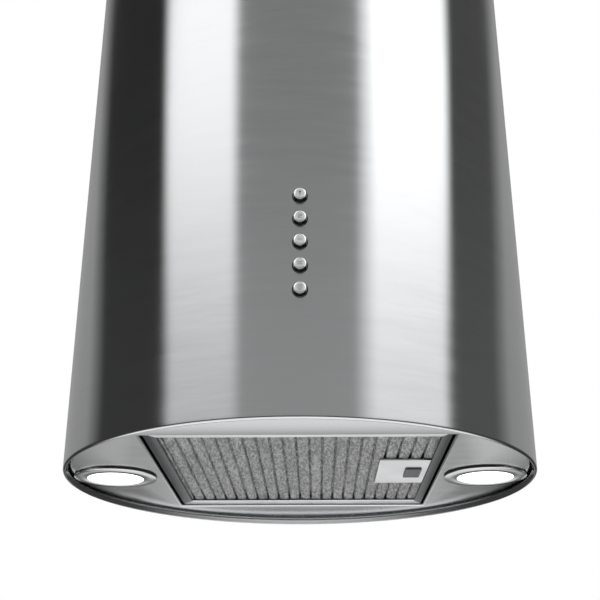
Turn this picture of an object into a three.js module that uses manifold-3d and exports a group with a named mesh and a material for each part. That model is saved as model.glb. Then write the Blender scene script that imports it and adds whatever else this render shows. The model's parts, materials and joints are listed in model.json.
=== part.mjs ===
// Cylinder island range hood, 350 mm across, hung from the ceiling on telescoping angle legs.
// Millimetres, +Z up, front towards -Y. Heights are counted from the rim of the hood, and the
// finished group is lowered so that the origin is the middle of the ceiling plate's top face.
import * as THREE from 'three';
import { mergeVertices } from 'three/addons/utils/BufferGeometryUtils.js';
import Module from 'manifold-3d';

const wasm = await Module();
wasm.setup();

// Driving dimensions
const GAP = 0.3;
const RING_STEPS = 60;
const SHELL_R = 175;
const SHEET = 1;
const SHELL_H = 560;
const HEM_W = 3.5;
const HEM_H = 4;
const SLEEVE_R = 172;
const SLEEVE_Z = 400;
const CEILING_Z = 880;
const CEILING_T = 2.5;
const CEILING_HALF = 115;
const DUCT_HOLE_R = 80;
const PLATE_R = 171;
const PLATE_Z = 5.4;
const PLATE_T = 1.2;
const PLATE_LIP_H = 10;
const OPENING_X = 103.7;
const OPENING_Y = 116.4;
const OPENING_LIP_H = 8;
const BASE_Z = 22;
const BASE_T = 2;
const BASE_WINDOW = 86;
const LEG_W = 20;
const LEG_T = 2;
const LEG_OUT = 110;
const LEG_BOLT_Z = 690;
const LEG_TRAVEL = 120;
const FILTER_X = 102.3;
const FILTER_Y = 115.4;
const FILTER_Z = 7.4;
const FILTER_H = 9;
const FILTER_BAR = 11.6;
const HINGE_BAR = 8.8;
const LATCH_BAR = 7;
const FILTER_SHEET = 0.8;
const PLEAT_PITCH = 9.04;
const PLEAT_SHIFT = -1.4;
const LATCH_X = 84.6;
const LATCH_Y = -2.3;
const LAMP_X = 139.6;
const LAMP_R = 31;
const LENS_R = 20.8;
const BUTTON_COUNT = 5;
const BUTTON_PITCH = 16.6;
const BUTTON_X = 2.8;
const BUTTON_MID_Z = 116.2;
const BUTTON_OUT = 5.6;
const BLOWER_Y = -20;
const BLOWER_Z = 215;
const BLOWER_HALF_W = 84;
const BLOWER_TOP_Z = 400;
const OUTLET_HALF = 76;
const SCROLL_R0 = 76.5;
const SCROLL_R1 = 96;
const WHEEL_R = 68;
const WHEEL_HALF_W = 56;
const BLADES = 24;
const COLLAR_R = 75;
const COLLAR_TOP_Z = 462;
const FLAP_Z = 420;

const HALF_STEP = Math.PI / RING_STEPS;
const FACE_Y = -SHELL_R * Math.cos(HALF_STEP);
const LOWER_LEG_OUT = LEG_OUT - LEG_T - GAP;

// Finishes
const metal = (color, roughness) => new THREE.MeshStandardMaterial({ color, roughness, metalness: 1 });
const plastic = (color, roughness) => new THREE.MeshStandardMaterial({ color, roughness, metalness: 0 });
const brushed = metal(0xb9bbbd, 0.28);
const panel = metal(0xc4c6c7, 0.35);
const zinc = metal(0x9fa4a8, 0.45);
const chrome = metal(0xe2e4e6, 0.08);
const aluminium = metal(0xcfd1d2, 0.4);
const mesh = metal(0xb4b6b8, 0.5);
const blackPlastic = plastic(0x1b1c1e, 0.5);
const greyPlastic = plastic(0x55585b, 0.55);
const whiteLens = plastic(0xfdfcf6, 0.3);
const boardGreen = plastic(0x1f5a3a, 0.6);

// Merges the shared vertices and drops the triangles that have no area.
function weld(geometry) {
  const bare = geometry.clone();
  bare.deleteAttribute('normal');
  bare.deleteAttribute('uv');
  const merged = mergeVertices(bare, 1e-4);
  const corners = merged.index.array;
  const kept = [];
  for (let i = 0; i < corners.length; i += 3) {
    const [a, b, c] = [corners[i], corners[i + 1], corners[i + 2]];
    if (a !== b && b !== c && c !== a) kept.push(a, b, c);
  }
  merged.setIndex(kept);
  return merged;
}

function solid(geometry) {
  const merged = weld(geometry);
  return new wasm.Manifold(new wasm.Mesh({
    numProp: 3,
    vertProperties: new Float32Array(merged.attributes.position.array),
    triVerts: new Uint32Array(merged.index.array),
  }));
}

function surface(body) {
  const found = body.getMesh();
  const geometry = new THREE.BufferGeometry();
  geometry.setAttribute('position', new THREE.BufferAttribute(found.vertProperties, 3));
  geometry.setIndex(new THREE.BufferAttribute(found.triVerts, 1));
  return geometry;
}

const cut = (geometry, tools) => surface(tools.reduce((body, tool) => body.subtract(solid(tool)), solid(geometry)));
const join = (geometries) => surface(geometries.slice(1).reduce(
  (body, more) => body.add(solid(more)), solid(geometries[0])));

// A box between two corners.
function block(low, high) {
  const size = high.map((value, i) => value - low[i]);
  const box = new THREE.BoxGeometry(...size);
  return box.translate(...low.map((value, i) => value + size[i] / 2));
}

// A ring or disc about +Z. The profile is [radius, height] pairs, anticlockwise, and its first
// facet looks along -Y.
function turned(profile, steps) {
  const points = profile.map(([r, z]) => new THREE.Vector2(r, z));
  if (profile[0][0] > 0) points.push(points[0].clone());
  const lathe = new THREE.LatheGeometry(points, steps, -Math.PI / steps);
  return weld(lathe.rotateX(Math.PI / 2));
}

// The same, about -Y: heights run outwards through the front of the hood.
const turnedForward = (profile, steps) => turned(profile, steps).rotateX(Math.PI / 2);

// The same, about +X.
const turnedSideways = (profile, steps) => turned(profile, steps).rotateY(Math.PI / 2);

function extruded(outline, depth, holes = []) {
  const shape = new THREE.Shape(outline.map(([x, y]) => new THREE.Vector2(x, y)));
  shape.holes = holes.map((hole) => new THREE.Path(hole.map(([x, y]) => new THREE.Vector2(x, y))));
  return weld(new THREE.ExtrudeGeometry(shape, { depth, bevelEnabled: false }));
}

const rectangle = (x, y) => [[-x, -y], [x, -y], [x, y], [-x, y]];

const round = (radius, low, high, steps) => turned([[0, low], [radius, low], [radius, high], [0, high]], steps);

// Points of an arc about (cx, cy), from angle a to angle b in degrees.
function arc(cx, cy, radius, a, b, steps) {
  return Array.from({ length: steps + 1 }, (_, i) => {
    const angle = THREE.MathUtils.degToRad(a + ((b - a) * i) / steps);
    return [cx + radius * Math.cos(angle), cy + radius * Math.sin(angle)];
  });
}

const hood = new THREE.Group();

function add(name, geometry, material, position = [0, 0, 0], turn = 0) {
  const piece = new THREE.Mesh(geometry, material);
  piece.name = name;
  piece.position.set(...position);
  piece.rotation.z = turn;
  hood.add(piece);
}

// Ceiling frame: the plate with its duct hole and fixing slots, and the four upper angles.
function ceilingPlate() {
  const slot = (x, y) => [...arc(x - 6, y, 3.5, 90, 270, 4), ...arc(x + 6, y, 3.5, -90, 90, 4)].reverse();
  const ductHole = arc(0, 0, DUCT_HOLE_R, 0, 360, 40).slice(0, -1).reverse();
  const slots = [[-55, -98], [55, -98], [-55, 98], [55, 98]].map(([x, y]) => slot(x, y));
  const sheet = extruded(rectangle(CEILING_HALF, CEILING_HALF), CEILING_T, [ductHole, ...slots]);
  return sheet.translate(0, 0, CEILING_Z - CEILING_T);
}

// An angle with its corner towards (-x, -y).
function angleBar(out, width, low, high) {
  const inner = out - LEG_T;
  const end = out - width;
  const outline = [[-out, -out], [-end, -out], [-end, -inner], [-inner, -inner], [-inner, -end], [-out, -end]];
  return extruded(outline, high - low).translate(0, 0, low);
}

const BOLT_Y = -97.7;

function upperLeg() {
  const top = CEILING_Z - CEILING_T - GAP;
  const bar = angleBar(LEG_OUT, LEG_W + LEG_T, LEG_BOLT_Z - LEG_TRAVEL - 10, top);
  const reach = LEG_TRAVEL + 4;
  const slot = block([-LEG_OUT - 1, BOLT_Y - 2.9, LEG_BOLT_Z - reach], [-LEG_OUT + 3, BOLT_Y + 2.9, LEG_BOLT_Z + reach]);
  return cut(bar, [slot]);
}

function lowerLeg() {
  const bar = angleBar(LOWER_LEG_OUT, LEG_W, BASE_Z + BASE_T + GAP, LEG_BOLT_Z + 15);
  const hole = turnedSideways([[0, -120], [2.8, -120], [2.8, -100], [0, -100]], 12);
  return cut(bar, [hole.translate(0, BOLT_Y, LEG_BOLT_Z)]);
}

// Hexagon bolt and its nut, which clamp the two angles between them.
function legBolt() {
  const nutIn = -LOWER_LEG_OUT + LEG_T + GAP;
  const headIn = -LEG_OUT - GAP;
  const profile = [[0, headIn - 3.2], [4.4, headIn - 3.2], [4.4, headIn], [2.5, headIn], [2.5, nutIn],
    [4.4, nutIn], [4.4, nutIn + 4], [2.5, nutIn + 4], [2.5, nutIn + 7], [0, nutIn + 7]];
  return turnedSideways(profile, 8).translate(0, BOLT_Y, LEG_BOLT_Z);
}

// Tab under the ceiling plate that the sleeve's screw grips. Its slot is open below.
const BRACKET_X = 169.3;
const SLEEVE_SCREW_Z = 858;

function sleeveBracket() {
  const top = CEILING_Z - CEILING_T - GAP;
  const arm = block([95, -15, top - 3], [BRACKET_X, 15, top]);
  const tab = block([BRACKET_X - 2, -15, 845], [BRACKET_X, 15, top - 1]);
  const slot = block([BRACKET_X - 4, -2.4, 840], [BRACKET_X + 2, 2.4, SLEEVE_SCREW_Z + 3]);
  return cut(join([arm, tab]), [slot]);
}

function upperSleeve() {
  const inner = SLEEVE_R - SHEET;
  const top = CEILING_Z - 1;
  const tube = turned([[SLEEVE_R, SLEEVE_Z], [SLEEVE_R, top], [inner, top], [inner, SLEEVE_Z]], RING_STEPS);
  const tools = [];
  for (const side of [0, Math.PI]) {
    for (let i = -2; i <= 2; i += 1) {
      const slot = block([inner - 6, -2, 785], [SLEEVE_R + 6, 2, 825]);
      tools.push(slot.rotateZ(side + i * 2 * HALF_STEP));
    }
    const hole = turnedSideways([[0, 160], [2.4, 160], [2.4, 180], [0, 180]], 12);
    tools.push(hole.translate(0, 0, SLEEVE_SCREW_Z).rotateZ(side));
  }
  return cut(tube, tools);
}

function sleeveScrew() {
  const seat = SLEEVE_R + GAP;
  const profile = [[0, 161], [2, 161], [2, seat], [3.6, seat], [3.6, seat + 0.7], [2.4, seat + 1.3], [0, seat + 1.3]];
  return turnedSideways(profile, 12).translate(0, 0, SLEEVE_SCREW_Z);
}

// Outer casing: one rolled sheet whose lower edge is folded into a thick hem.
const buttonZ = (i) => BUTTON_MID_Z + ((BUTTON_COUNT - 1) / 2 - i) * BUTTON_PITCH;
const BUTTON_HOLE_R = 5.4;

function lowerShell() {
  const inner = SHELL_R - SHEET;
  const hem = SHELL_R - HEM_W;
  const profile = [[hem, HEM_H - 0.4], [hem + 1.5, 0.4], [hem + 2, 0], [SHELL_R - 0.8, 0], [SHELL_R - 0.2, 0.3], [SHELL_R, 1],
    [SHELL_R, SHELL_H], [inner, SHELL_H], [inner, HEM_H], [hem, HEM_H]];
  const tools = Array.from({ length: BUTTON_COUNT }, (_, i) => turnedForward(
    [[0, 160], [BUTTON_HOLE_R, 160], [BUTTON_HOLE_R, 180], [0, 180]], 16).translate(BUTTON_X, 0, buttonZ(i)));
  return cut(turned(profile, RING_STEPS), tools);
}

// Disc with a turned-up rim that closes the bottom, with the filter opening and the lamp holes.
const LAMP_HOLE_R = 26.2;

function bottomPlate() {
  const top = PLATE_Z + PLATE_LIP_H;
  const inner = PLATE_R - SHEET;
  const profile = [[0, PLATE_Z], ...arc(PLATE_R - 2, PLATE_Z + 2, 2, -90, 0, 3), [PLATE_R, top], [inner, top],
    [inner, PLATE_Z + PLATE_T + 1], [inner - 1, PLATE_Z + PLATE_T], [0, PLATE_Z + PLATE_T]];
  const lip = [OPENING_X + SHEET, OPENING_Y + SHEET];
  const collar = block([-lip[0], -lip[1], PLATE_Z + 0.4], [lip[0], lip[1], PLATE_Z + OPENING_LIP_H]);
  const opening = block([-OPENING_X, -OPENING_Y, 0], [OPENING_X, OPENING_Y, 40]);
  const lampHole = (x) => round(LAMP_HOLE_R, 0, 40, 32).translate(x, 0, 0);
  return cut(join([turned(profile, RING_STEPS), collar]), [opening, lampHole(-LAMP_X), lampHole(LAMP_X)]);
}

// Structural tray that carries the legs, with a window for the air and holes for the lamps.
function baseFrame() {
  const rim = SHELL_R - SHEET - 0.4;
  const floor = BASE_Z + BASE_T;
  const profile = [[0, BASE_Z], [rim, BASE_Z], [rim, BASE_Z + 18], [rim - 1.5, BASE_Z + 18], [rim - 1.5, floor], [0, floor]];
  const window = block([-BASE_WINDOW, -BASE_WINDOW, 0], [BASE_WINDOW, BASE_WINDOW, 60]);
  const lampHole = (x) => round(27.5, 0, 60, 24).translate(x, 0, 0);
  return cut(turned(profile, RING_STEPS), [window, lampHole(-LAMP_X), lampHole(LAMP_X)]);
}

// Lamps: conical ring, diffuser, board and can, all about the lamp's own axis.
function lampBezel() {
  const [inner, seat] = [LENS_R + 0.4, PLATE_Z - GAP];
  return turned([[inner, seat - 2], [LAMP_R - 0.5, seat - 1.5], [LAMP_R, seat - 1.2], [LAMP_R, seat], [25.7, seat],
    [25.7, seat + 14], [24.7, seat + 14], [24.7, seat + 0.7], [inner, seat - 0.7]], 32);
}

function lampLens() {
  const [face, shoulder] = [PLATE_Z - 2.8, PLATE_Z + 0.9];
  return turned([[0, face], [LENS_R - 1, face + 0.2], [LENS_R, face + 0.8], [LENS_R, shoulder], [24.2, shoulder],
    [24.2, shoulder + 1.7], [0, shoulder + 1.7]], 32);
}

const lampBoard = () => round(22.5, PLATE_Z + 18, PLATE_Z + 19.6, 20);

function lampCan() {
  const [low, top] = [PLATE_Z + 3, PLATE_Z + 25.2];
  return turned([[0, top - 1.4], [22.9, top - 1.4], [22.9, low], [24.3, low], [24.3, top], [0, top]], 28);
}

// Push buttons: black ring in the casing's hole, and the chrome cap that slides in it.
function buttonBezel() {
  const face = -FACE_Y + GAP;
  return turnedForward([[4.6, 170.5], [5.05, 170.5], [5.05, face], [5.6, face], [5.6, face + 0.6], [5.2, face + 1.2],
    [4.6, face + 1.2]], 16);
}

function buttonCap() {
  const front = -FACE_Y + BUTTON_OUT;
  return turnedForward([[0, 167], [4.2, 167], [4.2, front - 0.7], [3.7, front - 0.1], [3.1, front], [2.8, front - 0.3],
    [0, front - 0.3]], 16);
}

function switchBlock() {
  const half = ((BUTTON_COUNT - 1) * BUTTON_PITCH) / 2 + 11;
  const body = block([-11, -163.5, BUTTON_MID_Z - half], [11, -146, BUTTON_MID_Z + half]);
  const socket = block([-7, -150, BUTTON_MID_Z - 12], [7, -140, BUTTON_MID_Z + 12]);
  return cut(body, [socket]).translate(BUTTON_X, 0, 0);
}

// Blower: a scroll in two halves that meet at x = 0, a double-inlet wheel and its motor.
function scrollOutline(inset) {
  const steps = 22;
  const start = 137;
  const spiral = Array.from({ length: steps + 1 }, (_, i) => {
    const turn = THREE.MathUtils.degToRad(start + ((360 - start) * i) / steps);
    const radius = SCROLL_R0 + ((SCROLL_R1 - SCROLL_R0) * i) / steps - inset;
    return [BLOWER_Y + radius * Math.cos(turn), BLOWER_Z + radius * Math.sin(turn)];
  });
  const side = OUTLET_HALF - inset;
  const top = BLOWER_TOP_Z + (inset > 0 ? 5 : 0);
  return [...spiral, [side, top], [-side, top]];
}

// A prism along X whose section is given as [y, z] points.
function sideways(outline, from, to) {
  const prism = extruded(outline, to - from);
  prism.rotateX(Math.PI / 2).rotateZ(Math.PI / 2);
  return prism.translate(from, 0, 0);
}

function blowerHalf(sign) {
  const [from, to] = sign < 0 ? [-BLOWER_HALF_W, -GAP / 2] : [GAP / 2, BLOWER_HALF_W];
  const [inFrom, inTo] = sign < 0 ? [from + 1.5, 5] : [-5, to - 1.5];
  const inlet = turnedSideways([[0, -100], [55, -100], [55, 100], [0, 100]], 32).translate(0, BLOWER_Y, BLOWER_Z);
  return cut(sideways(scrollOutline(0), from, to), [sideways(scrollOutline(1.5), inFrom, inTo), inlet]);
}

function blowerBracket(sign) {
  const [near, far] = [OUTLET_HALF + GAP, 100];
  const [low, high] = sign < 0 ? [-far, -near] : [near, far];
  return block([-87.3, low, 345], [87.3, high, 348]);
}

function wheelDisc() {
  const disc = turnedSideways([[4.4, -1.5], [59, -1.5], [59, 1.5], [4.4, 1.5]], BLADES);
  const sleeve = turnedSideways([[4.4, -12], [9, -12], [9, 1], [4.4, 1]], 16);
  return join([disc, sleeve]).translate(0, BLOWER_Y, BLOWER_Z);
}

// The blades and the three rings that hold them.
function wheelCage() {
  const ring = (x) => turnedSideways([[60, x - 1.5], [WHEEL_R, x - 1.5], [WHEEL_R, x + 1.5], [60, x + 1.5]], BLADES);
  const parts = [ring(-WHEEL_HALF_W + 1.5), ring(0), ring(WHEEL_HALF_W - 1.5)];
  for (let i = 0; i < BLADES; i += 1) {
    const blade = block([-WHEEL_HALF_W + 1, -0.6, -3.8], [WHEEL_HALF_W - 1, 0.6, 3.8]);
    blade.rotateX(THREE.MathUtils.degToRad(-32)).translate(0, 0, 63.2);
    parts.push(blade.rotateX((i * 2 * Math.PI) / BLADES));
  }
  return join(parts).translate(0, BLOWER_Y, BLOWER_Z);
}

function motor() {
  const profile = [[0, -14], [4, -14], [4, 5], [14, 5], [14, 10], [36, 12], [40, 16], [40, 74], [36, 78], [0, 78]];
  return turnedSideways(profile, 24).translate(0, BLOWER_Y, BLOWER_Z);
}

// Three-armed spider that holds the motor's end in the right-hand inlet.
function motorMount() {
  const ring = turnedSideways([[41, 84.3], [47, 84.3], [47, 86.3], [41, 86.3]], 24);
  const arms = [90, 210, 330].map((angle) => block([84.3, 44, -6], [86.3, 64, 6]).rotateX(
    THREE.MathUtils.degToRad(angle)));
  const sleeve = turnedSideways([[40.4, 70], [42, 70], [42, 86.3], [40.4, 86.3]], 24);
  return join([ring, sleeve, ...arms]).translate(0, BLOWER_Y, BLOWER_Z);
}

function outletCollar() {
  const low = BLOWER_TOP_Z + GAP;
  const flange = block([-BLOWER_HALF_W, -OUTLET_HALF, low], [BLOWER_HALF_W, OUTLET_HALF, low + 2]);
  const tube = turned([[0, low], [COLLAR_R, low], [COLLAR_R, COLLAR_TOP_Z], [0, COLLAR_TOP_Z]], 48);
  return cut(join([flange, tube]), [round(COLLAR_R - 1.5, 0, 600, 48)]);
}

const damperPin = () => round(1.8, -COLLAR_R + 2.3, COLLAR_R - 2.3, 8).rotateX(Math.PI / 2).translate(0, 0, FLAP_Z);

// A half disc on the -x side of the pin.
function damperFlap() {
  const radius = COLLAR_R - 3;
  const away = 3.2;
  const start = THREE.MathUtils.radToDeg(Math.acos(-away / radius));
  return extruded(arc(0, 0, radius, start, 360 - start, 20), 1).translate(0, 0, FLAP_Z - 0.5);
}

function controlBox() {
  const body = block([-60, 118, 62], [60, 150, 142]);
  const hollow = block([-58.5, 119.5, 63.5], [58.5, 155, 140.5]);
  return cut(body, [hollow]);
}

const controlLid = () => block([-60, 150.3, 62], [60, 151.8, 142]);

function cableGland() {
  return turned([[4, 142.3], [9, 142.3], [9, 147], [7.5, 148], [7.5, 155], [6, 158], [4, 158]], 12).translate(-35, 134, 0);
}

// Grease filter: a folded frame with mitred corners round a pleated mesh pack.
function filterFrame() {
  const top = FILTER_Z + FILTER_H;
  const body = block([-FILTER_X, -FILTER_Y, FILTER_Z], [FILTER_X, FILTER_Y, top]);
  const [ix, iy] = [FILTER_X - 1, FILTER_Y - 1];
  const channel = block([-ix, -iy, FILTER_Z + FILTER_SHEET], [ix, iy, top - FILTER_SHEET]);
  const wy = FILTER_Y - FILTER_BAR;
  const window = block([HINGE_BAR - FILTER_X, -wy, 0], [FILTER_X - LATCH_BAR, wy, 40]);
  const boltHole = block([FILTER_X - 2, LATCH_Y - 6.5, FILTER_Z + 2.6], [FILTER_X + 2, LATCH_Y + 6.5, FILTER_Z + 5.4]);
  return cut(body, [channel, window, boltHole]);
}

const CORE_Z = FILTER_Z + 1.4;

function filterCore() {
  const edge = FILTER_X - 1.4;
  const half = FILTER_Y - 1.4;
  const top = FILTER_Z + FILTER_H - FILTER_SHEET - GAP;
  const count = 21;
  const outline = [[-edge, top], [-edge, CORE_Z]];
  for (let i = 0; i < count; i += 1) {
    const x = (i - (count - 1) / 2) * PLEAT_PITCH + PLEAT_SHIFT;
    outline.push([x - 1.3, CORE_Z], [x, CORE_Z + 4], [x + 1.3, CORE_Z]);
  }
  outline.push([edge, CORE_Z], [edge, top]);
  const pack = extruded(outline, 2 * half).rotateX(Math.PI / 2).translate(0, half, 0);
  return cut(pack, [block([66, LATCH_Y - 18, 0], [edge + 5, LATCH_Y + 18, 40])]);
}

function latchPlate() {
  const right = FILTER_X - LATCH_BAR - GAP;
  const sheet = block([right - 36.7, LATCH_Y - 36.8, FILTER_Z], [right, LATCH_Y + 36.8, FILTER_Z + 1]);
  const slot = block([LATCH_X - 5.4, LATCH_Y - 8.4, 0], [LATCH_X + 4.4, LATCH_Y + 8.4, 40]);
  return cut(sheet, [slot]);
}

// Finger tab below the plate, carrier and bolt above it. It slides towards -x to free the filter.
function latchSlider() {
  const [near, far] = [LATCH_Y - 13, LATCH_Y + 13];
  const tab = block([LATCH_X - 6, near, FILTER_Z - 1.4], [LATCH_X + 6, far, FILTER_Z - GAP]);
  const stem = block([LATCH_X, LATCH_Y - 8, FILTER_Z - 1], [LATCH_X + 4, LATCH_Y + 8, FILTER_Z + 3]);
  const carrier = block([LATCH_X - 6, near, FILTER_Z + 1.3], [LATCH_X + 12, far, FILTER_Z + 5]);
  const bolt = block([LATCH_X + 10, LATCH_Y - 6, FILTER_Z + 3], [FILTER_X - 0.4, LATCH_Y + 6, FILTER_Z + 5]);
  return join([tab, stem, carrier, bolt]);
}

const corners = { front_left: 0, front_right: Math.PI / 2, rear_right: Math.PI, rear_left: -Math.PI / 2 };
add('ceiling_plate', ceilingPlate(), zinc);
for (const [corner, turn] of Object.entries(corners)) {
  add(`upper_leg_${corner}`, upperLeg(), zinc, [0, 0, 0], turn);
  add(`lower_leg_${corner}`, lowerLeg(), zinc, [0, 0, 0], turn);
  add(`leg_bolt_${corner}`, legBolt(), chrome, [0, 0, 0], turn);
}
for (const [side, turn] of [['left', Math.PI], ['right', 0]]) {
  add(`sleeve_bracket_${side}`, sleeveBracket(), zinc, [0, 0, 0], turn);
  add(`sleeve_screw_${side}`, sleeveScrew(), chrome, [0, 0, 0], turn);
}
add('upper_sleeve', upperSleeve(), brushed);
add('lower_shell', lowerShell(), brushed);
add('bottom_plate', bottomPlate(), panel);
add('base_frame', baseFrame(), zinc);
for (const [side, x] of [['left', -LAMP_X], ['right', LAMP_X]]) {
  add(`lamp_bezel_${side}`, lampBezel(), panel, [x, 0, 0]);
  add(`lamp_lens_${side}`, lampLens(), whiteLens, [x, 0, 0]);
  add(`lamp_board_${side}`, lampBoard(), boardGreen, [x, 0, 0]);
  add(`lamp_can_${side}`, lampCan(), aluminium, [x, 0, 0]);
}
for (let i = 0; i < BUTTON_COUNT; i += 1) {
  add(`button_bezel_${i + 1}`, buttonBezel(), blackPlastic, [BUTTON_X, 0, buttonZ(i)]);
  add(`button_cap_${i + 1}`, buttonCap(), chrome, [BUTTON_X, 0, buttonZ(i)]);
}
add('switch_block', switchBlock(), blackPlastic);
add('blower_housing_left', blowerHalf(-1), greyPlastic);
add('blower_housing_right', blowerHalf(1), greyPlastic);
add('blower_bracket_front', blowerBracket(-1), zinc);
add('blower_bracket_rear', blowerBracket(1), zinc);
add('wheel_disc', wheelDisc(), blackPlastic);
add('wheel_cage', wheelCage(), blackPlastic);
add('motor', motor(), zinc);
add('motor_mount', motorMount(), zinc);
add('outlet_collar', outletCollar(), blackPlastic);
add('damper_pin', damperPin(), zinc);
add('damper_flap_left', damperFlap(), greyPlastic);
add('damper_flap_right', damperFlap(), greyPlastic, [0, 0, 0], Math.PI);
add('control_box', controlBox(), blackPlastic);
add('control_lid', controlLid(), blackPlastic);
add('cable_gland', cableGland(), blackPlastic);
add('filter_frame', filterFrame(), aluminium);
add('filter_core', filterCore(), mesh);
add('latch_plate', latchPlate(), aluminium);
add('latch_slider', latchSlider(), greyPlastic);

hood.position.z = -CEILING_Z;

export default hood;
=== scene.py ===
"""Cylinder island range hood: brushed steel casing, round bottom panel, lamps, grease filter and works.

Pieces are modelled in millimetres with z = 0 at the casing's rim, and placed on the frame in metres.
"""
import json
import math

import bmesh
import bpy
from mathutils import Matrix, Vector


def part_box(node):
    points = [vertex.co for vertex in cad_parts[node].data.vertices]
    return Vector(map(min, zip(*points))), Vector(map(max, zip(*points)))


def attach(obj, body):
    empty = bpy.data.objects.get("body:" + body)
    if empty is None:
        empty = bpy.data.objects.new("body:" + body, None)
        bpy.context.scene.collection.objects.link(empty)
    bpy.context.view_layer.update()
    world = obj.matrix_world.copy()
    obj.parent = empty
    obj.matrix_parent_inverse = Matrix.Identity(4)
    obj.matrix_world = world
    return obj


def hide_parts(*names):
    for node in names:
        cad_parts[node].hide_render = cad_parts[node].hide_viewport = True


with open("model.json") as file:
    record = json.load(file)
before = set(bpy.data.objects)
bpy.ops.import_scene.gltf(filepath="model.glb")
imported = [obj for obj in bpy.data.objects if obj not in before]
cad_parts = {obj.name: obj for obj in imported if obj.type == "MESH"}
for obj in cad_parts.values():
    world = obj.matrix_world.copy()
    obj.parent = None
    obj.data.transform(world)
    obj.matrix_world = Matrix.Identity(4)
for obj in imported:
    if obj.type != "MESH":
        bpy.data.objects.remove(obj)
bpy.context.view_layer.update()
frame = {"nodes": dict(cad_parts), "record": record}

MM = 0.001
RIM_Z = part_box("lower_shell")[0].z
TO_FRAME = Matrix.Translation((0, 0, RIM_Z)) @ Matrix.Diagonal((MM, MM, MM, 1))


def box_mm(node):
    """A node's lowest and highest corners in millimetres from the rim."""
    low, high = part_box(node)
    shift = Vector((0, 0, RIM_Z))
    return (low - shift) / MM, (high - shift) / MM


# Sizes in millimetres. What the frame's boxes don't give is a named size of the same part.
ROUND = 256  # steps round the casing and the panel
SHEET = 1.0
SHELL_R = 175.0
SHELL_TOP = box_mm("lower_shell")[1].z
FACE_Y = -SHELL_R
HEM_W, HEM_H = 3.5, 4.0
HEM_BEND = 1.9  # outer radius of the fold at the rim
SLEEVE_R = 172.0
SLEEVE_LOW, SLEEVE_TOP = box_mm("upper_sleeve")[0].z, box_mm("upper_sleeve")[1].z
VENT_LOW, VENT_HIGH = 785.0, 825.0
PLATE_R = 171.0
PLATE_Z, PLATE_TOP = box_mm("bottom_plate")[0].z, box_mm("bottom_plate")[1].z
PLATE_BEND, OPENING_BEND = 2.0, 1.3
OPENING_X, OPENING_Y = 103.7, 116.4
LAMP_X = 139.6
LAMP_R, LENS_R = 31.0, 20.8
LAMP_HOLE_R = 26.2
LENS_PROUD = 1.2  # how far the lens stands below the panel
BUTTON_PROUD = 4.3  # how far a cap stands out of the casing
FILTER_LOW, FILTER_HIGH = box_mm("filter_frame")
FILTER_BAR, HINGE_BAR, LATCH_BAR = 11.6, 8.8, 7.0
PLEATS = 21
PLEAT_PITCH, PLEAT_SHIFT = 9.04, -1.4
GROOVE_HALF, GROOVE_DEPTH = 1.25, 4.6
STRAND = 0.5  # thickness of the mesh's strands
TUCK = 2.2  # how far the pack reaches into the end channels


# Camera and stage

def rgb(code):
    """Linear red, green, blue and alpha of an sRGB hex colour."""
    values = [int(code[i:i + 2], 16) / 255 for i in (1, 3, 5)]
    return (*[v / 12.92 if v <= 0.04045 else ((v + 0.055) / 1.055) ** 2.4 for v in values], 1.0)


def grey(level):
    """Linear grey of a display level from 0 to 1."""
    value = level / 12.92 if level <= 0.04045 else ((level + 0.055) / 1.055) ** 2.4
    return (value, value, value, 1.0)


def node(tree, kind, links=None, stops=None, **settings):
    """Adds a node. links gives sockets their values or what feeds them, and stops fills a ramp."""
    made = tree.nodes.new(kind)
    for name, value in settings.items():
        setattr(made, name, value)
    for socket, value in (links or {}).items():
        if isinstance(value, bpy.types.NodeSocket):
            tree.links.new(value, made.inputs[socket])
        else:
            made.inputs[socket].default_value = value
    if stops:
        elements = made.color_ramp.elements
        elements[0].position, elements[0].color = stops[0]
        elements[1].position, elements[1].color = stops[-1]
        for position, colour in stops[1:-1]:
            elements.new(position).color = colour
    return made


def make_camera():
    """Low in front of the hood, looking up at its underside and buttons."""
    distance, below = 0.749, 0.165
    pitch, yaw = math.radians(22.78), math.radians(0.92)
    data = bpy.data.cameras.new("camera")
    data.sensor_width = 36.0
    data.lens = 60.0
    camera = bpy.data.objects.new("camera", data)
    bpy.context.scene.collection.objects.link(camera)
    camera.location = (distance * math.sin(yaw), -distance * math.cos(yaw), RIM_Z - below)
    camera.rotation_euler = (math.pi / 2 + pitch, 0, yaw)
    bpy.context.scene.camera = camera


# What stands round the hood, by compass angle with 0 in front and 90 to the right: where each thing starts and
# ends, and its display level low down and high up. Each fades into the next, and then into a plain room behind.
STANDING = {
    "left flag": (-105, -65, 0.20, 0.15),
    "left soft box": (-60, -30, 0.65, 1.00),
    "front wall": (-25, 25, 0.55, 0.45),
    "right soft box": (35, 70, 0.80, 1.10),
    "right flag": (75, 105, 0.30, 0.25),
}
ROOM_EDGE = 120
ROOM_LEVEL = 0.50
# Below the horizon there is a dark floor and, behind the hood, a low wall that is brighter lower down.
WALL_EDGE = 170
FLOOR_EDGE = 160
DARK_FLOOR_LEVEL = 0.20
SHALLOW_WALL_LEVEL = 0.35
DEEP_WALL_LEVEL = 0.80


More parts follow.
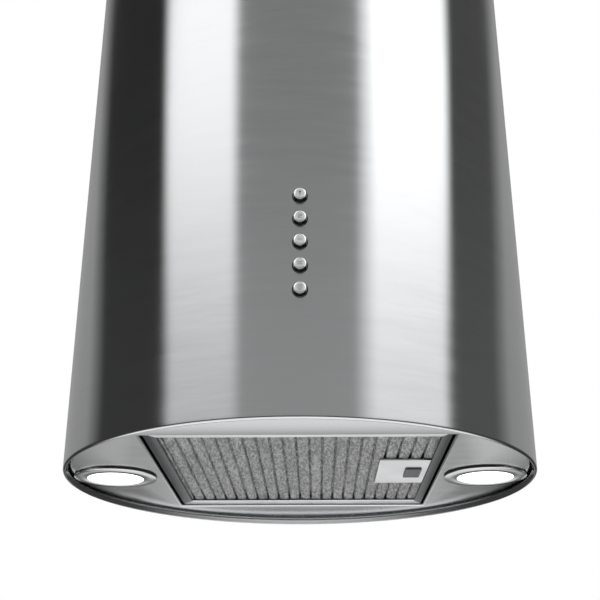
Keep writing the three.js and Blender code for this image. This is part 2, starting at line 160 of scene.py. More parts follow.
def make_studio():
    """Two soft boxes and two dark flags round the hood, as bands of the surroundings, and a pale floor."""
    scene = bpy.context.scene
    scene.view_settings.view_transform = "Standard"
    world = bpy.data.worlds.new("studio")
    world.use_nodes = True
    scene.world = world
    tree = world.node_tree
    tree.nodes.clear()
    direction = node(tree, "ShaderNodeTexCoord").outputs["Generated"]
    parts = node(tree, "ShaderNodeSeparateXYZ", {0: direction}).outputs
    away = node(tree, "ShaderNodeMath", {0: parts["Y"], 1: -1.0}, operation="MULTIPLY").outputs[0]
    turn = node(tree, "ShaderNodeMath", {0: parts["X"], 1: away}, operation="ARCTAN2").outputs[0]
    steep = {0: parts["Z"], 1: math.sin(math.radians(17)), 2: math.sin(math.radians(38)), 3: 1.0, 4: 1.23}
    lean = node(tree, "ShaderNodeMapRange", steep).outputs[0]
    leant = node(tree, "ShaderNodeMath", {0: turn, 1: lean}, operation="DIVIDE").outputs[0]
    place = node(tree, "ShaderNodeMapRange", {0: leant, 1: -math.pi, 2: math.pi}).outputs[0]

    def ring(bands):
        stops = [((angle + 180) / 360, grey(level)) for angle, level in bands]
        return node(tree, "ShaderNodeValToRGB", {0: place}, stops=stops).outputs[0]

    def standing(low_or_high):
        bands = [(-ROOM_EDGE, ROOM_LEVEL)]
        for start, stop, *levels in STANDING.values():
            bands += [(start, levels[low_or_high]), (stop, levels[low_or_high])]
        return ring(bands + [(ROOM_EDGE, ROOM_LEVEL)])

    def behind(level):
        floor = [(-FLOOR_EDGE, DARK_FLOOR_LEVEL), (FLOOR_EDGE, DARK_FLOOR_LEVEL)]
        return ring([(-WALL_EDGE, level), *floor, (WALL_EDGE, level)])

    def rising(low, high):
        ends = {0: parts["Z"], 1: math.sin(math.radians(low)), 2: math.sin(math.radians(high))}
        return node(tree, "ShaderNodeMapRange", ends, interpolation_type="SMOOTHSTEP").outputs[0]

    def mix(factor, first, second):
        return node(tree, "ShaderNodeMix", {0: factor, 6: first, 7: second}, data_type="RGBA").outputs[2]

    about = mix(rising(16, 36), standing(0), standing(1))
    under = mix(rising(-18, -11), behind(DEEP_WALL_LEVEL), behind(SHALLOW_WALL_LEVEL))
    lit = mix(rising(-2, 8), mix(rising(-46, -28), grey(0.92), under), about)
    light = node(tree, "ShaderNodeBackground", {0: lit, 1: 1.8}).outputs[0]
    plain = node(tree, "ShaderNodeBackground", {0: grey(1.0), 1: 1.0}).outputs[0]
    seen = node(tree, "ShaderNodeLightPath").outputs["Is Camera Ray"]
    both = node(tree, "ShaderNodeMixShader", {0: seen, 1: light, 2: plain}).outputs[0]
    node(tree, "ShaderNodeOutputWorld", {0: both})
    bm = bmesh.new()
    bmesh.ops.create_circle(bm, cap_ends=True, radius=8.0, segments=96)
    bmesh.ops.translate(bm, vec=(0, 0, RIM_Z - 1.6), verts=bm.verts)
    data = bpy.data.meshes.new("floor")
    bm.to_mesh(data)
    bm.free()
    floor = bpy.data.objects.new("floor", data)
    scene.collection.objects.link(floor)
    floor.visible_glossy = False
    data.materials.append(floor_paint())


# Materials

def begin(name):
    """An empty material, its tree and its Object coordinates."""
    material = bpy.data.materials.new(name)
    material.use_nodes = True
    tree = material.node_tree
    tree.nodes.clear()
    return material, tree, node(tree, "ShaderNodeTexCoord").outputs["Object"]


def end(tree, shader):
    node(tree, "ShaderNodeOutputMaterial", {"Surface": shader.outputs[0]})


def floor_paint():
    # Matte emulsion on board: even and pale, with a faint roller texture.
    material, tree, place = begin("matte_floor_paint")
    roller = node(tree, "ShaderNodeTexNoise", {"Vector": place, "Scale": 300.0}).outputs[0]
    bump = node(tree, "ShaderNodeBump", {"Height": roller, "Strength": 0.05, "Distance": 0.001}).outputs[0]
    end(tree, node(tree, "ShaderNodeBsdfPrincipled", {
        "Base Color": rgb("#e9e9e7"), "Roughness": 0.9, "Normal": bump}))
    return material


def hairline_steel(name, colour, across, along, roughness, aniso, turn):
    """Sheet drawn against an abrasive belt: long fine lines that spread a reflection across them."""
    # along is the spacing of the lines and across that of their slow drift, in mm, on each axis.
    material, tree, place = begin(name)
    grain = node(tree, "ShaderNodeMapping",
                 {"Vector": place, "Scale": tuple(1 / (MM * w) for w in along)}).outputs[0]
    fine = node(tree, "ShaderNodeTexNoise", {"Vector": grain, "Scale": 1.0, "Detail": 3.0}).outputs[0]
    drift = node(tree, "ShaderNodeMapping",
                 {"Vector": place, "Scale": tuple(1 / (MM * w) for w in across)}).outputs[0]
    broad = node(tree, "ShaderNodeTexNoise", {"Vector": drift, "Scale": 1.0, "Detail": 2.0}).outputs[0]
    both = node(tree, "ShaderNodeMath", {0: fine, 1: broad}, operation="ADD").outputs[0]
    rough = node(tree, "ShaderNodeMapRange",
                 {0: both, 1: 0.6, 2: 1.4, 3: roughness * 0.85, 4: roughness * 1.15}).outputs[0]
    tint = node(tree, "ShaderNodeMapRange", {0: both, 1: 0.6, 2: 1.4, 3: 0.94, 4: 1.04}).outputs[0]
    steel = node(tree, "ShaderNodeMix", {0: 1.0, 6: rgb(colour), 7: tint}, data_type="RGBA",
                 blend_type="MULTIPLY").outputs[2]
    bump = node(tree, "ShaderNodeBump", {"Height": fine, "Strength": 0.04, "Distance": 0.0001}).outputs[0]
    end(tree, node(tree, "ShaderNodeBsdfPrincipled", {
        "Base Color": steel, "Metallic": 1.0, "Roughness": rough, "Anisotropic": aniso,
        "Anisotropic Rotation": turn, "Normal": bump}))
    return material


def cast_grain(name, colour, metallic, roughness, grit, depth, spread=0.1):
    """A plain moulded, plated or anodised finish: an even colour with a fine grain of that grit, in mm."""
    material, tree, place = begin(name)
    grain = node(tree, "ShaderNodeTexNoise",
                 {"Vector": place, "Scale": 1 / (MM * grit), "Detail": 4.0}).outputs[0]
    cloud = node(tree, "ShaderNodeTexNoise",
                 {"Vector": place, "Scale": 1 / (MM * 40), "Detail": 3.0}).outputs[0]
    rough = node(tree, "ShaderNodeMapRange",
                 {0: cloud, 1: 0.3, 2: 0.7, 3: roughness - spread / 2,
                  4: roughness + spread / 2}).outputs[0]
    tint = node(tree, "ShaderNodeMapRange", {0: cloud, 1: 0.3, 2: 0.7, 3: 0.93, 4: 1.05}).outputs[0]
    body = node(tree, "ShaderNodeMix", {0: 1.0, 6: rgb(colour), 7: tint}, data_type="RGBA",
                blend_type="MULTIPLY").outputs[2]
    bump = node(tree, "ShaderNodeBump",
                {"Height": grain, "Strength": depth, "Distance": MM * grit * 0.25}).outputs[0]
    end(tree, node(tree, "ShaderNodeBsdfPrincipled", {
        "Base Color": body, "Metallic": metallic, "Roughness": rough, "Normal": bump}))
    return material


def stretched_foil(name, colour, darkest, lightest):
    """Matt foil, slit and stretched, with painted glints: each strand is painted its own tone, from dark to
    light, for the light it would catch at its own angle.
    """
    # Real slits are finer than this. The lands are drawn as coarse as they need to be to show.
    material, tree, place = begin(name)
    lands = node(tree, "ShaderNodeMapping",
                 {"Vector": place, "Scale": (1 / (MM * 1.05), 1 / (MM * 3.2), 1 / (MM * 3))}).outputs[0]
    # Painted glint: each cell's tone stands in for how its facet catches the light.
    painted_glint_facet = node(tree, "ShaderNodeTexVoronoi", {"Vector": lands, "Scale": 1.0}).outputs["Color"]
    tint = node(tree, "ShaderNodeMapRange",
                {0: painted_glint_facet, 1: 0.28, 2: 0.72, 3: darkest, 4: lightest}).outputs[0]
    body = node(tree, "ShaderNodeMix", {0: 1.0, 6: rgb(colour), 7: tint}, data_type="RGBA",
                blend_type="MULTIPLY").outputs[2]
    grain = node(tree, "ShaderNodeTexNoise", {"Vector": lands, "Scale": 1.5, "Detail": 3.0}).outputs[0]
    rough = node(tree, "ShaderNodeMapRange", {0: grain, 1: 0.3, 2: 0.7, 3: 0.42, 4: 0.66}).outputs[0]
    bump = node(tree, "ShaderNodeBump", {"Height": grain, "Strength": 0.8, "Distance": MM * 0.4}).outputs[0]
    end(tree, node(tree, "ShaderNodeBsdfPrincipled", {
        "Base Color": body, "Metallic": 0.2, "Roughness": rough, "Normal": bump}))
    return material


def chrome_plate():
    # Bright nickel-chrome over plastic: a mirror with barely a ripple.
    material, tree, place = begin("bright_chrome_plate")
    ripple = node(tree, "ShaderNodeTexNoise",
                  {"Vector": place, "Scale": 1 / (MM * 3), "Detail": 1.0}).outputs[0]
    rough = node(tree, "ShaderNodeMapRange", {0: ripple, 3: 0.04, 4: 0.10}).outputs[0]
    bump = node(tree, "ShaderNodeBump", {"Height": ripple, "Strength": 0.05, "Distance": 0.0001}).outputs[0]
    end(tree, node(tree, "ShaderNodeBsdfPrincipled", {
        "Base Color": rgb("#dfe0e2"), "Metallic": 1.0, "Roughness": rough, "Normal": bump}))
    return material


def lit_diffuser():
    # Frosted polycarbonate lens over white diodes: softly even.
    material, tree, place = begin("frosted_lamp_diffuser")
    frost = node(tree, "ShaderNodeTexNoise",
                 {"Vector": place, "Scale": 1 / (MM * 0.4), "Detail": 2.0}).outputs[0]
    glow = node(tree, "ShaderNodeMapRange", {0: frost, 3: 0.96, 4: 1.0}).outputs[0]
    colour = node(tree, "ShaderNodeMix", {0: 1.0, 6: rgb("#fffdf8"), 7: glow}, data_type="RGBA",
                  blend_type="MULTIPLY").outputs[2]
    bump = node(tree, "ShaderNodeBump", {"Height": frost, "Strength": 0.1, "Distance": 0.0001}).outputs[0]
    end(tree, node(tree, "ShaderNodeBsdfPrincipled", {
        "Base Color": rgb("#f4f4f0"), "Roughness": 0.35, "Emission Color": colour, "Emission Strength": 2.2,
        "Normal": bump}))
    return material


# Hairline stainless sheet, drawn round the casing: reflections spread into soft upright bands.
STEEL = hairline_steel("hairline_stainless_casing", "#c6c7c8", (60, 60, 9), (28, 28, 0.45), 0.165, 0.95,
                       0.25)
# The same sheet, drawn from side to side across the flat panel: a calm satin with faint lines.
PANEL = hairline_steel("satin_stainless_panel", "#c4c5c6", (40, 12, 40), (30, 0.5, 30), 0.16, 0.0, 0.0)
# Drawn and anodised aluminium channel: pale, with a slight sheen along the bar.
ALUMINIUM = hairline_steel("drawn_anodised_aluminium", "#cfd0d1", (40, 40, 40), (9, 9, 9), 0.30, 0.9, 0.25)
# The same channel at the two sides, drawn the other way, in a darker copy of the same aluminium: painted shade.
SHADED_SIDE_CHANNEL = hairline_steel("drawn_aluminium_side_painted_shade", "#515355", (40, 40, 40), (0.5, 30, 30), 0.34,
                          0.0, 0.0)
# Etched and clear anodised aluminium: an even bright satin.
SATIN = cast_grain("satin_anodised_aluminium", "#edeeef", 1.0, 0.34, 0.4, 0.08)
# Expanded aluminium mesh over the pleats, and the layers of the same foil packed behind it: a dry sparkle
# painted into their colour as glints. The packed layers, seen in the grooves and through the mesh, are painted
# a little darker: painted shade.
MESH = stretched_foil("expanded_aluminium_foil", "#ffffff", 0.52, 1.0)
FOIL_PACK = stretched_foil("packed_foil_layers", "#f4f6f8", 0.38, 1.0)
# Zinc plate on pressed steel: dull, cool and cloudy.
ZINC = cast_grain("dull_zinc_plated_steel", "#a7abb0", 1.0, 0.42, 0.6, 0.12, 0.2)
# Bright zinc on screws and bolts: the same, polished.
BRIGHT_ZINC = cast_grain("bright_zinc_bolt_steel", "#c3c6ca", 1.0, 0.25, 0.5, 0.10)
CHROME = chrome_plate()
# Satin chrome under clear lacquer: a pale face with a soft gleam at its edge.
FACE = cast_grain("satin_chrome_button_face", "#ffffff", 0.5, 0.22, 0.4, 0.05)
# Black with a tight highlight, on the button barrels and collars: painted shade and painted dark reflection
# round the bright faces.
SHADED_BUTTON_BLACK = cast_grain("button_black_painted_shade", "#101112", 0.0, 0.22, 0.4, 0.03)
DIFFUSER = lit_diffuser()
# Spark-textured black ABS: even and half matt.
BLACK = cast_grain("moulded_black_abs", "#1c1d1f", 0.0, 0.48, 0.3, 0.15)
# Moulded grey polypropylene: waxy and plain.
GREY = cast_grain("moulded_grey_polypropylene", "#616569", 0.0, 0.50, 0.35, 0.15)
# Pad-printed ink: flat and slightly rough.
PRINT = cast_grain("grey_pad_printed_ink", "#6a6c6f", 0.0, 0.55, 0.3, 0.05)
# Solder mask on glass-fibre board: a thin green varnish.
BOARD = cast_grain("green_solder_mask_board", "#1f5b3c", 0.0, 0.40, 0.5, 0.10)


# Modelling

def turned(profile, steps=ROUND, closed=True):
    """A bmesh turned about z from (radius, height) points, in millimetres."""
    bm = bmesh.new()
    points = [bm.verts.new((r, 0, z)) for r, z in profile]
    pairs = list(zip(points, points[1:])) + ([(points[-1], points[0])] if closed else [])
    edges = [bm.edges.new(pair) for pair in pairs]
    bmesh.ops.spin(bm, geom=points + edges, cent=(0, 0, 0), axis=(0, 0, 1), angle=2 * math.pi, steps=steps,
                   use_merge=True)
    bmesh.ops.remove_doubles(bm, verts=bm.verts, dist=1e-4)
    bmesh.ops.dissolve_degenerate(bm, edges=bm.edges, dist=1e-5)
    bmesh.ops.recalc_face_normals(bm, faces=bm.faces)
    return bm


def arc(cx, cy, radius, start, stop, steps):
    """Points of an arc, angles in degrees."""
    angles = [math.radians(start + (stop - start) * i / steps) for i in range(steps + 1)]
    return [(cx + radius * math.cos(a), cy + radius * math.sin(a)) for a in angles]


def slab(low, high, soft=0.0, segments=2):
    """A box between two corners, with all its edges rounded by soft."""
    bm = bmesh.new()
    bmesh.ops.create_cube(bm, size=1.0)
    low, high = Vector(low), Vector(high)
    bmesh.ops.scale(bm, vec=high - low, verts=bm.verts)
    bmesh.ops.translate(bm, vec=(low + high) / 2, verts=bm.verts)
    if soft:
        bmesh.ops.bevel(bm, geom=bm.edges, offset=soft, affect="EDGES", segments=segments, profile=0.5,
                        material=-1)
    return bm


def prism(outline, depth):
    """A flat outline in x and y, given thickness upwards."""
    bm = bmesh.new()
    face = bm.faces.new([bm.verts.new((x, y, 0)) for x, y in outline])
    grown = bmesh.ops.extrude_face_region(bm, geom=[face])["geom"]
    bmesh.ops.translate(bm, vec=(0, 0, depth),
                        verts=[g for g in grown if isinstance(g, bmesh.types.BMVert)])
    bmesh.ops.recalc_face_normals(bm, faces=bm.faces)
    return bm


def moved(bm, *steps):
    """Applies matrices to a whole bmesh, first to last."""
    for step in steps:
        bmesh.ops.transform(bm, matrix=step, verts=bm.verts)
    if math.prod(step.determinant() for step in steps) < 0:
        bmesh.ops.reverse_faces(bm, faces=bm.faces)
    return bm


def shift(x, y, z):
    return Matrix.Translation((x, y, z))


def spin_about(axis, degrees):
    return Matrix.Rotation(math.radians(degrees), 4, axis)


FORWARD = spin_about("X", 90)  # z of a turned piece points out through the front


def together(*parts):
    """Puts several bmeshes into the first."""
    whole = parts[0]
    for part in parts[1:]:
        data = bpy.data.meshes.new("part")
        part.to_mesh(data)
        part.free()
        whole.from_mesh(data)
        bpy.data.meshes.remove(data)
    return whole


def settle(bm, name, material, body, replaces=(), sharp=32):
    """Makes the finished piece: smooth faces, creases kept sharp, in metres on the frame."""
    for face in bm.faces:
        face.smooth = True
    limit = math.radians(sharp)
    for edge in bm.edges:
        edge.smooth = len(edge.link_faces) == 2 and edge.calc_face_angle(0) < limit
    bmesh.ops.transform(bm, matrix=TO_FRAME, verts=bm.verts)
    data = bpy.data.meshes.new(name)
    bm.to_mesh(data)
    bm.free()
    data.materials.append(material)
    piece = bpy.data.objects.new(name, data)
    bpy.context.scene.collection.objects.link(piece)
    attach(piece, body)
    if replaces:
        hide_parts(*replaces)
    return piece


def thicken(piece, thickness):
    """Gives a sheet its thickness behind its outer face."""
    solidify = piece.modifiers.new("sheet", "SOLIDIFY")
    solidify.thickness = thickness * MM
    solidify.offset = -1.0
    solidify.use_even_offset = True


# Casing

def make_shell():
    """Rolled casing with a folded hem at the rim and a small bright edge at the top."""
    inner = SHELL_R - SHEET
    hem = SHELL_R - HEM_W
    profile = [(hem, HEM_H - 0.5), (hem + 0.15, HEM_H - 0.9), (hem + 1.3, 0.9),
               *arc(hem + 2.1, 0.7, 0.7, 200, 270, 4),
               *arc(SHELL_R - HEM_BEND, HEM_BEND, HEM_BEND, 270, 360, 8), (SHELL_R, 3.0),
               (SHELL_R, SHELL_TOP - 3), (SHELL_R, SHELL_TOP - 0.3), (SHELL_R - 0.3, SHELL_TOP),
               (inner + 0.3, SHELL_TOP), (inner, SHELL_TOP - 0.3), (inner, HEM_H + 0.3),
               (inner - 0.3, HEM_H), (hem + 0.4, HEM_H), (hem + 0.1, HEM_H - 0.2)]
    settle(turned(profile), "casing", STEEL, "hood", ["lower_shell"], sharp=40)


def make_sleeve():
    """Upper sleeve, with a group of vent slots cut through each side below the ceiling."""
    segments = 240
    bm = turned([(SLEEVE_R, z)
                 for z in (SLEEVE_LOW, VENT_LOW, VENT_LOW + 1, VENT_HIGH - 1, VENT_HIGH, SLEEVE_TOP)],
                segments, closed=False)
    bmesh.ops.rotate(bm, verts=bm.verts, cent=(0, 0, 0), matrix=Matrix.Rotation(math.pi / segments, 3, "Z"))
    slots = []
    for face in bm.faces:
        middle = face.calc_center_median()
        away = math.degrees(math.atan2(middle.y, abs(middle.x)))
        beside = abs(away - 6 * round(away / 6)) < 0.3 and abs(away) < 14
        if beside and VENT_LOW < middle.z < VENT_HIGH:
            slots.append(face)
    bmesh.ops.delete(bm, geom=slots, context="FACES")
    thicken(settle(bm, "sleeve", STEEL, "sleeve", ["upper_sleeve"]), SHEET)


def ring_out(bm, edges, steps):
    """Extrudes a loop of edges again and again. Each step is a function that moves one new corner."""
    for move in steps:
        grown = bmesh.ops.extrude_edge_only(bm, edges=edges)["geom"]
        edges = [g for g in grown if isinstance(g, bmesh.types.BMEdge)]
        for vert in {v for e in edges for v in e.verts}:
            move(vert)


def make_plate():
    """Round bottom panel: turned-up rim, lamp holes, and the filter opening with its turned-up lip."""
    bm = bmesh.new()
    outer = bmesh.ops.create_circle(bm, cap_ends=False, radius=PLATE_R - PLATE_BEND,
                                    segments=ROUND)["verts"]
    for x in (-LAMP_X, LAMP_X):
        bmesh.ops.create_circle(bm, cap_ends=False, radius=LAMP_HOLE_R, segments=64, matrix=shift(x, 0, 0))
    corners = [bm.verts.new((sx * (OPENING_X + OPENING_BEND), sy * (OPENING_Y + OPENING_BEND), 0))
               for sx, sy in ((-1, -1), (1, -1), (1, 1), (-1, 1))]
    opening = [bm.edges.new((corners[i], corners[(i + 1) % 4])) for i in range(4)]
    rim = list({e for v in outer for e in v.link_edges})
    bmesh.ops.triangle_fill(bm, use_beauty=True, edges=bm.edges)
    bmesh.ops.translate(bm, vec=(0, 0, PLATE_Z), verts=bm.verts)

    def outwards(distance, up):
        def move(vert):
            radial = Vector((vert.co.x, vert.co.y, 0)).normalized()
            vert.co += radial * distance + Vector((0, 0, up))
        return move

    def inwards(distance, up):
        def move(vert):
            vert.co += Vector((-math.copysign(distance, vert.co.x), -math.copysign(distance, vert.co.y),
                               up))
        return move

    def quarter(radius, count, side):
        points = [(radius * math.sin(a), radius * (1 - math.cos(a)))
                  for a in [math.pi / 2 * i / count for i in range(count + 1)]]
        return [side(b[0] - a[0], b[1] - a[1]) for a, b in zip(points, points[1:])]

    ring_out(bm, rim, [*quarter(PLATE_BEND, 6, outwards), outwards(0, PLATE_TOP - PLATE_Z - PLATE_BEND)])
    ring_out(bm, opening, [*quarter(OPENING_BEND, 5, inwards), inwards(0, 6.4)])
    bmesh.ops.recalc_face_normals(bm, faces=bm.faces)
    flat = max(bm.faces, key=lambda f: f.calc_area())
    if flat.normal.z > 0:
        bmesh.ops.reverse_faces(bm, faces=bm.faces)
    thicken(settle(bm, "bottom_panel", PANEL, "hood", ["bottom_plate"]), SHEET)


# Lamps

def make_lamps():
    """Each lamp has a sloping ring that stands proud of the panel, and a frosted lens."""
    seat = PLATE_Z - 0.3
    ring = [(LENS_R + 0.35, seat - 1.8), (LENS_R + 0.8, seat - 2.0), (LAMP_R - 0.9, seat - 1.55),
            (LAMP_R - 0.2, seat - 1.3), (LAMP_R, seat - 1.0), (LAMP_R, seat), (25.7, seat),
            (25.7, seat + 13.6), (25.3, seat + 14), (24.7, seat + 14), (24.7, seat + 0.7),
            (LENS_R + 0.35, seat - 0.7)]
    face = PLATE_Z - LENS_PROUD
    lens = [(0, face), (8, face + 0.03), (14, face + 0.1), (18, face + 0.25), (20, face + 0.6),
            (LENS_R, face + 1.3), (LENS_R, face + 2.1), (24.2, face + 2.1), (24.2, face + 3.8),
            (0, face + 3.8)]
    for side, x in (("left", -LAMP_X), ("right", LAMP_X)):
        place = shift(x, 0, 0)
        settle(moved(turned(ring, 96), place), f"lamp_ring_{side}", PANEL, "hood",
               [f"lamp_bezel_{side}"])
        settle(moved(turned(lens, 96, closed=False), place), f"lamp_glass_{side}", DIFFUSER, "hood",
               [f"lamp_lens_{side}"])


# Push buttons

def stroke(x, z, width, height, lift=0.12):
    """A raised mark on a button's face, in the button's own plane."""
    return moved(slab((x - width / 2, z - height / 2, 0), (x + width / 2, z + height / 2, lift), 0.05, 1),
                 FORWARD)


def make_buttons():
    """Domed bright caps with a raised mark, on dark barrels, each in a dark collar; barrels and collars are
    black as painted shade and painted dark reflection.
    """
    front = -FACE_Y + BUTTON_PROUD
    face = [(0, front), (1.2, front - 0.04), (2.2, front - 0.14), (3.0, front - 0.3), (3.6, front - 0.48),
            (3.95, front - 0.66), (3.95, front - 0.74), (3.7, front - 0.8), (0, front - 0.8)]
    barrel = [(0, front - 0.85), (3.9, front - 0.85), (4.14, front - 1.0), (4.2, front - 1.3), (4.2, 167.3),
              (3.9, 167), (0, 167)]
    low = -FACE_Y + 0.05
    collar = [(4.5, low + 0.7), (4.65, low + 0.9), (4.85, low + 0.9), (5.05, low + 0.7), (5.15, low + 0.4),
              (5.2, low), (5.0, low), (5.0, 170.5), (4.5, 170.5)]
    marks = [
        [(0, 0.9, 1.5, 1.5), (0, -0.5, 0.9, 0.5), (0, -1.3, 0.9, 0.4)],
        [(0, 1.1, 2.2, 0.4), (0.9, 0.5, 0.4, 1.2), (0, 0, 2.2, 0.4), (-0.9, -0.5, 0.4, 1.2),
         (0, -1.1, 2.2, 0.4)],
        [(0, 0, 3.0, 0.5)],
        [(0, -0.7, 3.0, 0.5), (0, 0.7, 3.0, 0.5)],
        [(0, -1.3, 2.6, 0.5), (0, 0, 3.0, 0.5), (0, 1.3, 2.6, 0.5)],
    ]
    for i, strokes in enumerate(marks, 1):
        low_corner, high_corner = box_mm(f"button_cap_{i}")
        place = (FORWARD, shift((low_corner.x + high_corner.x) / 2, 0, (low_corner.z + high_corner.z) / 2))
        settle(moved(turned(face, 48, closed=False), *place), f"push_face_{i}", FACE, f"button_{i}",
               [f"button_cap_{i}"])
        # Barrels and collars in black: painted shade and painted dark reflection.
        settle(moved(turned(barrel, 48, closed=False), *place), f"push_barrel_{i}", SHADED_BUTTON_BLACK,
               f"button_{i}")
        settle(moved(turned(collar, 48), *place), f"push_collar_{i}", SHADED_BUTTON_BLACK, "hood",
               [f"button_bezel_{i}"])
        lines = together(*[stroke(*each) for each in strokes])
        settle(moved(lines, shift(0, 0.12 - front, 0), place[1]), f"push_mark_{i}", PRINT, f"button_{i}")


# Grease filter

def mitred_bar(half, section, before, after):
    """A frame bar along x on the -y side. section is (inwards, z) points, and before and after are how far
    the cuts at its two ends run along x for each millimetre inwards."""
    reach = half + 1
    bm = bmesh.new()
    face = bm.faces.new([bm.verts.new((-reach, u, z)) for u, z in section])
    grown = bmesh.ops.extrude_face_region(bm, geom=[face])["geom"]
    bmesh.ops.translate(bm, vec=(2 * reach, 0, 0),
                        verts=[g for g in grown if isinstance(g, bmesh.types.BMVert)])
    bmesh.ops.recalc_face_normals(bm, faces=bm.faces)
    for side, slope in ((-1, before), (1, after)):
        cut = bmesh.ops.bisect_plane(bm, geom=[*bm.verts, *bm.edges, *bm.faces],
                                     plane_co=(side * (half - 0.08), 0, 0), plane_no=(side, slope, 0),
                                     clear_outer=True)["geom_cut"]
        bmesh.ops.holes_fill(bm, edges=[g for g in cut if isinstance(g, bmesh.types.BMEdge)])
    bmesh.ops.recalc_face_normals(bm, faces=bm.faces)
    return bm


def make_filter_frame():
    """Four folded channels with mitred corners."""
    low, high = FILTER_LOW.z, FILTER_HIGH.z
    wall, sheet = 1.0, 0.8
    bars = []
    for degrees, half, out, width, before, after in (
            (0, FILTER_HIGH.x, FILTER_HIGH.y, FILTER_BAR, HINGE_BAR, LATCH_BAR),
            (90, FILTER_HIGH.y, FILTER_HIGH.x, LATCH_BAR, FILTER_BAR, FILTER_BAR),
            (180, FILTER_HIGH.x, FILTER_HIGH.y, FILTER_BAR, LATCH_BAR, HINGE_BAR),
            (270, FILTER_HIGH.y, FILTER_HIGH.x, HINGE_BAR, FILTER_BAR, FILTER_BAR)):
        section = [(0.7, low), (width - 0.5, low), (width, low + 0.4), (width, low + sheet),
                   (wall, low + sheet), (wall, high - sheet), (width, high - sheet), (width, high),
                   (0.4, high), (0, high - 0.4), (0, low + 0.7), (0.2, low + 0.2)]
        bar = mitred_bar(half, section, before / width, after / width)
        bars.append(moved(bar, shift(0, -out, 0), spin_about("Z", degrees)))
    settle(together(bars[0], bars[2]), "filter_end_channels", ALUMINIUM, "filter",
           ["filter_frame"])
    # The side channels take the darker copy of the aluminium: painted shade.
    settle(together(bars[1], bars[3]), "filter_side_channels", SHADED_SIDE_CHANNEL, "filter")


def make_filter_core():
    """Pleated pack: packed foil behind, and a layer of expanded diamond mesh over every pleat."""
    low, high = box_mm("filter_core")
    edge = high.x
    back = low.z + 1.3
    outline = [(-edge, high.z), (-edge, back)]
    for i in range(PLEATS):
        x = (i - (PLEATS - 1) / 2) * PLEAT_PITCH + PLEAT_SHIFT
        wall, floor = GROOVE_HALF - 0.15, back + GROOVE_DEPTH
        outline += [(x - GROOVE_HALF, back), (x - wall, floor - 1.4), (x, floor), (x + wall, floor - 1.4),
                    (x + GROOVE_HALF, back)]
    outline += [(edge, back), (edge, high.z)]
    pack = moved(prism(outline, high.y - low.y + 2 * TUCK), FORWARD, shift(0, high.y + TUCK, 0))
    settle(pack, "filter_pack", FOIL_PACK, "filter", ["filter_core"])
    across, along = 3, 56
    width = PLEAT_PITCH - 2 * GROOVE_HALF
    strips = []
    for i in range(PLEATS + 1):
        x = (i - PLEATS / 2) * PLEAT_PITCH + PLEAT_SHIFT
        if abs(x) > edge - width / 2:
            continue
        strip = bmesh.new()
        bmesh.ops.create_grid(strip, x_segments=across, y_segments=along, size=0.5)
        cell_edges = list(strip.edges)
        bmesh.ops.poke(strip, faces=strip.faces)
        inner = [e for e in cell_edges if e.is_valid and len(e.link_faces) == 2]
        bmesh.ops.dissolve_edges(strip, edges=inner, use_verts=False)
        bmesh.ops.scale(strip, vec=(width, high.y - low.y + TUCK, 1), verts=strip.verts)
        for vert in strip.verts:
            lift = max(0.0, abs(vert.co.x) - width * 0.3)
            ripple = math.sin(vert.co.x * 5.1 + i * 2.3) * math.sin(vert.co.y * 2.7 + i * 1.7)
            vert.co.z += lift * 0.5 + ripple * 0.28 + 0.3
        bmesh.ops.wireframe(strip, faces=strip.faces, thickness=STRAND, offset=0.0, use_replace=True,
                            use_boundary=True, use_even_offset=False)
        strips.append(moved(strip, shift(x, 0, low.z + 0.1)))
    settle(together(*strips), "filter_expanded_mesh", MESH, "filter", sharp=70)


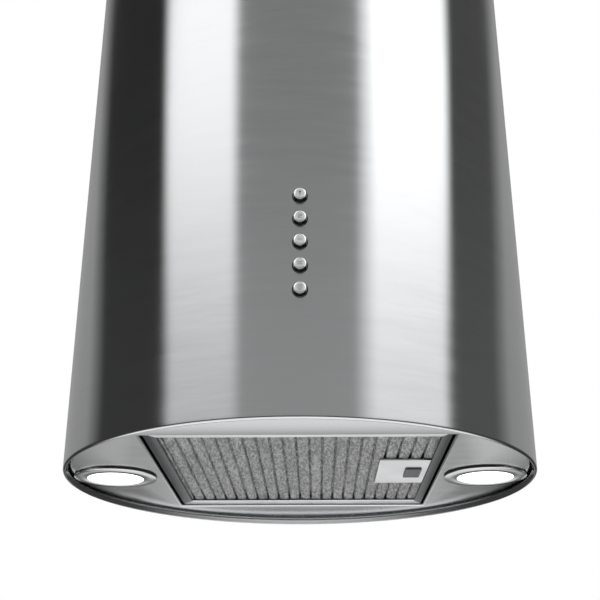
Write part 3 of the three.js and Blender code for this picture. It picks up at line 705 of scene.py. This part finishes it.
def make_latch():
    """Bright plate beside the right bar, and the finger tab that draws the bolt back."""
    low, high = box_mm("latch_plate")
    tab_low, tab_high = box_mm("latch_slider")
    middle = (low.y + high.y) / 2
    pocket = ((tab_low.x + 0.6, middle - 8.4), (tab_low.x + 10.4, middle + 8.4))
    bm = bmesh.new()
    outer = [(low.x, low.y), (high.x, low.y), (high.x, high.y), (low.x, high.y)]
    (x0, y0), (x1, y1) = pocket
    inner = [(x0, y0), (x1, y0), (x1, y1), (x0, y1)]
    for loop in (outer, inner):
        verts = [bm.verts.new((x, y, low.z)) for x, y in loop]
        for i in range(4):
            bm.edges.new((verts[i], verts[(i + 1) % 4]))
    bmesh.ops.triangle_fill(bm, use_beauty=True, edges=bm.edges)
    bmesh.ops.recalc_face_normals(bm, faces=bm.faces)
    if any(face.normal.z > 0 for face in bm.faces):
        bmesh.ops.reverse_faces(bm, faces=bm.faces)
    thicken(settle(bm, "latch_cover", SATIN, "filter", ["latch_plate"]), SHEET)
    x, under = tab_low.x, low.z
    tab = slab((x, tab_low.y, tab_low.z), (x + 12, tab_high.y, under - 0.3), 0.35, 3)
    stem = slab((x + 6, middle - 8, under - 0.6), (x + 10, middle + 8, under + 2.5), 0.2)
    carrier = slab((x, tab_low.y, under + 1.3), (x + 18, tab_high.y, under + 5), 0.2)
    bolt = slab((x + 16, middle - 6, under + 3), (tab_high.x, middle + 6, under + 5), 0.3)
    ridges = [slab((x + 2.5 + i * 2.2, tab_low.y + 2, tab_low.z - 0.2),
                   (x + 3.5 + i * 2.2, tab_high.y - 2, tab_low.z + 0.3), 0.15)
              for i in range(4)]
    settle(together(tab, stem, carrier, bolt, *ridges), "latch_tab", GREY, "latch",
           ["latch_slider"])


def dress_nodes():
    """Gives each carried-over node its finish by its slot."""
    finishes = {"zinc_steel": ZINC, "bolt_steel": BRIGHT_ZINC, "brushed_steel": STEEL, "panel_steel": PANEL,
                "lamp_diffuser": DIFFUSER, "circuit_board": BOARD, "filter_aluminium": ALUMINIUM,
                "filter_mesh": MESH, "chrome_plate": CHROME, "black_plastic": BLACK, "grey_plastic": GREY}
    for row in frame["record"]["subparts"]:
        cad = frame["nodes"][row["node"]]
        cad.data.materials.clear()
        cad.data.materials.append(finishes[row["material_slot"]])


make_camera()
make_studio()
dress_nodes()
make_shell()
make_sleeve()
make_plate()
make_lamps()
make_buttons()
make_filter_frame()
make_filter_core()
make_latch()
